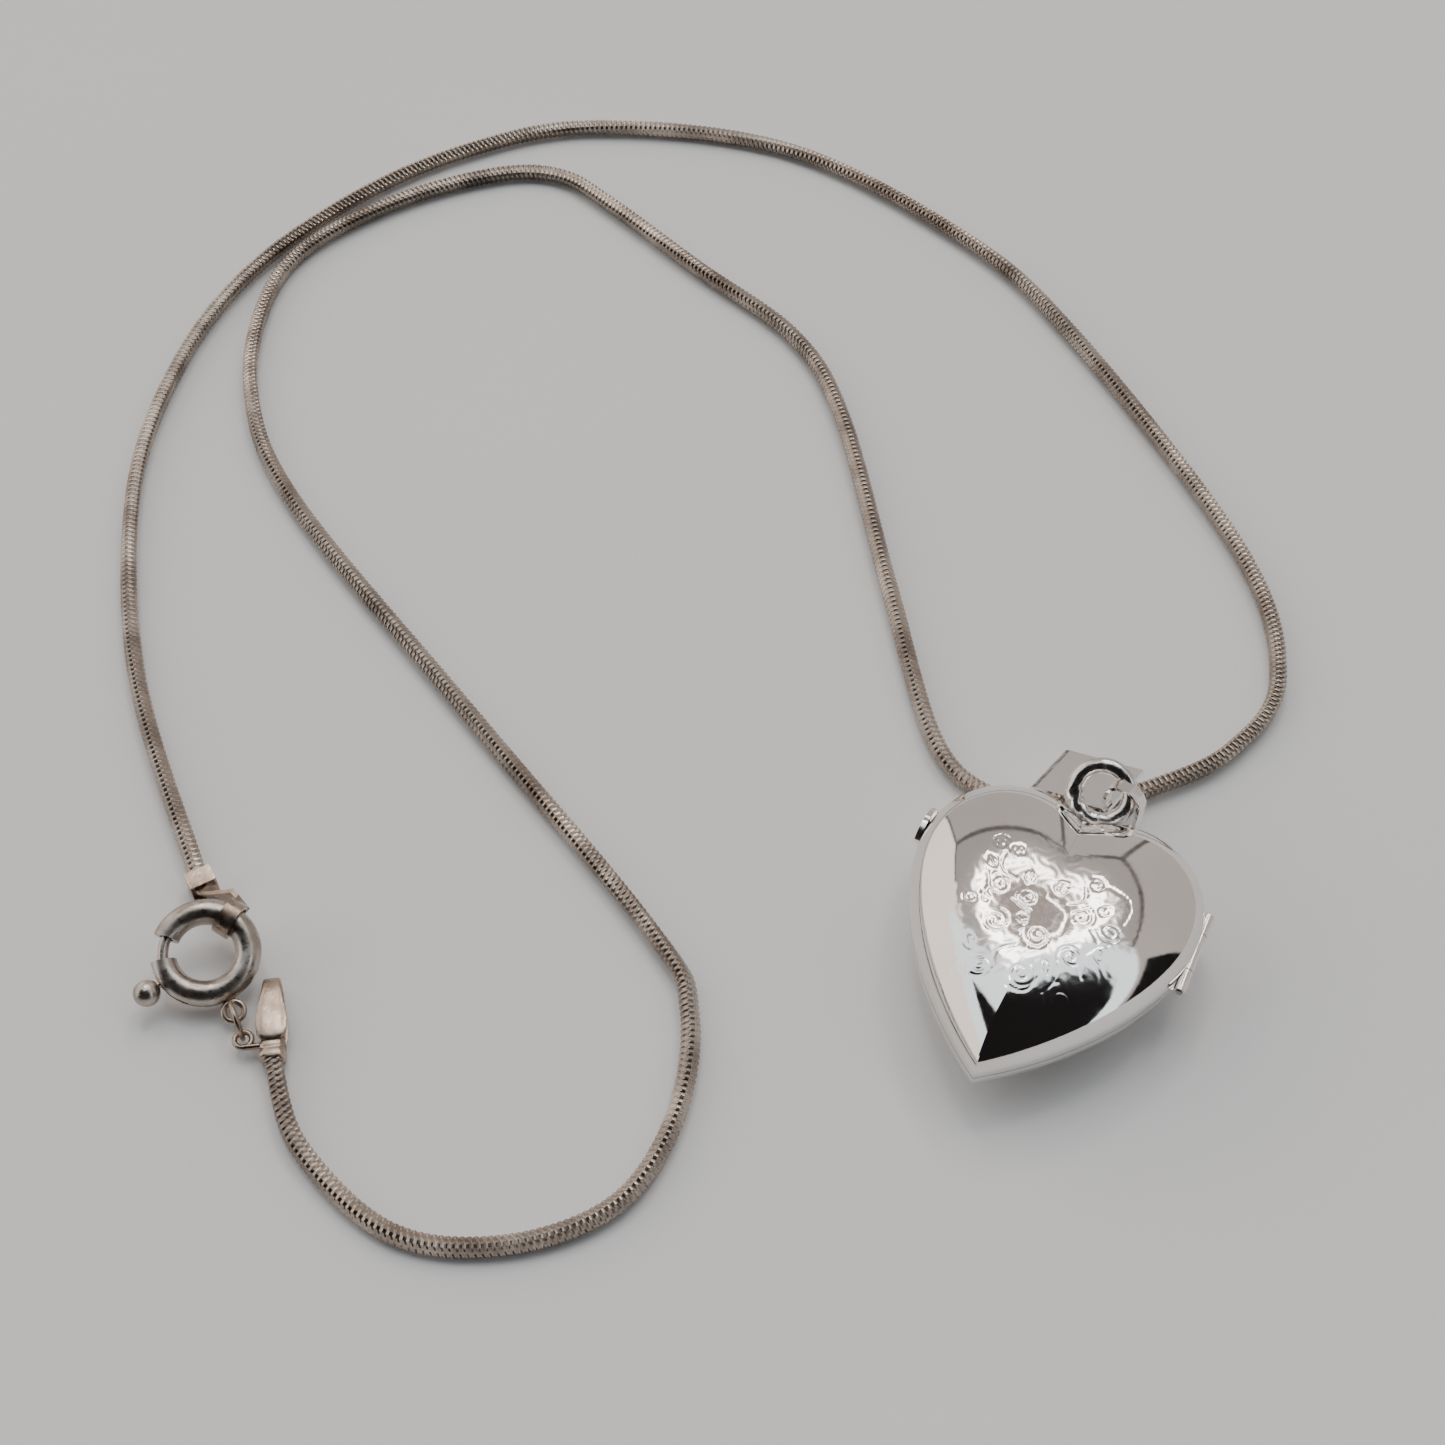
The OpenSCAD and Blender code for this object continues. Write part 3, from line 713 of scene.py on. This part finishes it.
class Graph:
    """Short forms for the world's arithmetic nodes."""

    def __init__(self, tree):
        self.nodes, self.links = tree.nodes, tree.links

    def put(self, socket, value):
        if isinstance(value, (int, float)):
            socket.default_value = value
        else:
            self.links.new(value, socket)

    def math(self, operation, a, b=0.0):
        node = self.nodes.new("ShaderNodeMath")
        node.operation = operation
        self.put(node.inputs[0], a)
        self.put(node.inputs[1], b)
        return node.outputs[0]

    def dot(self, vector, axis):
        node = self.nodes.new("ShaderNodeVectorMath")
        node.operation = "DOT_PRODUCT"
        self.links.new(vector, node.inputs[0])
        node.inputs[1].default_value = axis
        return node.outputs["Value"]

    def over(self, low, mask, colour):
        """colour where mask is 1, over what lies below it."""
        node = self.nodes.new("ShaderNodeMix")
        node.data_type = "RGBA"
        self.put(node.inputs["Factor"], mask)
        if isinstance(low, tuple):
            node.inputs["A"].default_value = (*low, 1)
        else:
            self.links.new(low, node.inputs["A"])
        node.inputs["B"].default_value = (*colour, 1)
        return node.outputs["Result"]

    def soft(self, value, low, high):
        """0 below low, 1 above high."""
        node = self.nodes.new("ShaderNodeMapRange")
        node.interpolation_type = "SMOOTHSTEP"
        self.links.new(value, node.inputs["Value"])
        node.inputs["From Min"].default_value = low
        node.inputs["From Max"].default_value = high
        return node.outputs["Result"]


def make_light():
    """A white light tent with a ring lamp in its roof and its front open to a dark room."""
    world = bpy.data.worlds.new("light_tent")
    bpy.context.scene.world = world
    world.use_nodes = True
    g = Graph(world.node_tree)
    background = g.nodes["Background"]
    direction = g.nodes.new("ShaderNodeTexCoord").outputs["Generated"]
    right = g.dot(direction, TENT_RIGHT)
    away = g.dot(direction, TENT_AWAY)
    up = g.dot(direction, (0, 0, 1))
    to_left = g.math("DIVIDE", right, -TENT_LEFT_WALL)
    to_right = g.math("DIVIDE", right, TENT_RIGHT_WALL)
    to_roof = g.math("DIVIDE", up, TENT_CEILING)
    to_side = g.math("MAXIMUM", to_left, to_right)
    to_wall = g.math("MAXIMUM", to_side, away)
    roof = g.soft(g.math("SUBTRACT", to_roof, to_wall), -EDGE, EDGE)
    side = g.soft(g.math("SUBTRACT", to_side, away), -EDGE, EDGE)
    is_left = g.soft(right, EDGE, -EDGE)
    colour = g.over(BACK_WALL, side, RIGHT_WALL)
    left_wall = g.math("MULTIPLY", side, is_left)
    colour = g.over(colour, left_wall, LEFT_WALL)
    colour = g.over(colour, roof, ROOF)
    # Ring lamp on the roof, in the roof's own coordinates.
    height = g.math("MAXIMUM", up, 0.001)
    u = g.math("SUBTRACT", g.math("DIVIDE", right, height), LAMP_AT[0])
    v = g.math("SUBTRACT", g.math("DIVIDE", away, height), LAMP_AT[1])
    from_lamp = g.math("SQRT", g.math("ADD", g.math("MULTIPLY", u, u), g.math("MULTIPLY", v, v)))
    lamp = g.math("MULTIPLY", g.soft(from_lamp, *LAMP_INNER_EDGE), g.soft(from_lamp, *LAMP_OUTER_EDGE))
    inside_lamp = g.math("MULTIPLY", g.soft(from_lamp, *LAMP_MIDDLE_EDGE), roof)
    colour = g.over(colour, inside_lamp, LAMP_MIDDLE)
    colour = g.over(colour, g.math("MULTIPLY", lamp, roof), LAMP)
    # Dark seams where the walls and the roof meet.
    roof_gap = g.math("ABSOLUTE", g.math("SUBTRACT", to_roof, to_wall))
    wall_gap = g.math("ABSOLUTE", g.math("SUBTRACT", to_side, away))
    wall_gap = g.math("ADD", wall_gap, g.math("MULTIPLY", roof, OFF_THE_WALLS))
    seam = g.math("MAXIMUM", g.soft(roof_gap, *SEAM_EDGE), g.soft(wall_gap, *SEAM_EDGE))
    colour = g.over(colour, g.math("MULTIPLY", seam, SEAM_STRENGTH), SEAM_SHADOW)
    # The open front, its bright hem, and the dark room beyond.
    sideways = g.math("SUBTRACT", right, g.math("MULTIPLY", up, HEM_SLANT))
    beyond = g.math("MAXIMUM", sideways, 0.0)
    front = g.math("ADD", away, g.math("MULTIPLY", g.math("MULTIPLY", beyond, beyond), HEM_CURVE))
    leftward = g.math("MULTIPLY", right, -1.0)
    past_left = g.math("MAXIMUM", g.math("SUBTRACT", leftward, HEM_LEFT_FROM), 0.0)
    near_left = g.math("MINIMUM", past_left, HEM_LEFT_TO - HEM_LEFT_FROM)
    far_left = g.math("MAXIMUM", g.math("SUBTRACT", leftward, HEM_LEFT_TO), 0.0)
    front = g.math("SUBTRACT", front, g.math("MULTIPLY", near_left, HEM_LEFT_DIP))
    front = g.math("ADD", front, g.math("MULTIPLY", far_left, HEM_LEFT_RISE))
    colour = g.over(colour, g.soft(front, *HEM_EDGE), FRONT_HEM)
    colour = g.over(colour, g.soft(front, *OPENING_EDGE), DARK_ROOM)
    past_hem = g.math("ADD", sideways, g.math("MULTIPLY", away, PAST_HEM_LEAN))
    past_hem = g.math("MULTIPLY", g.soft(past_hem, *PAST_HEM_EDGE), g.soft(away, *PAST_HEM_DEPTH))
    colour = g.over(colour, past_hem, DARK_ROOM)
    g.links.new(colour, background.inputs["Color"])
    background.inputs["Strength"].default_value = LIGHT_STRENGTH


make_light()
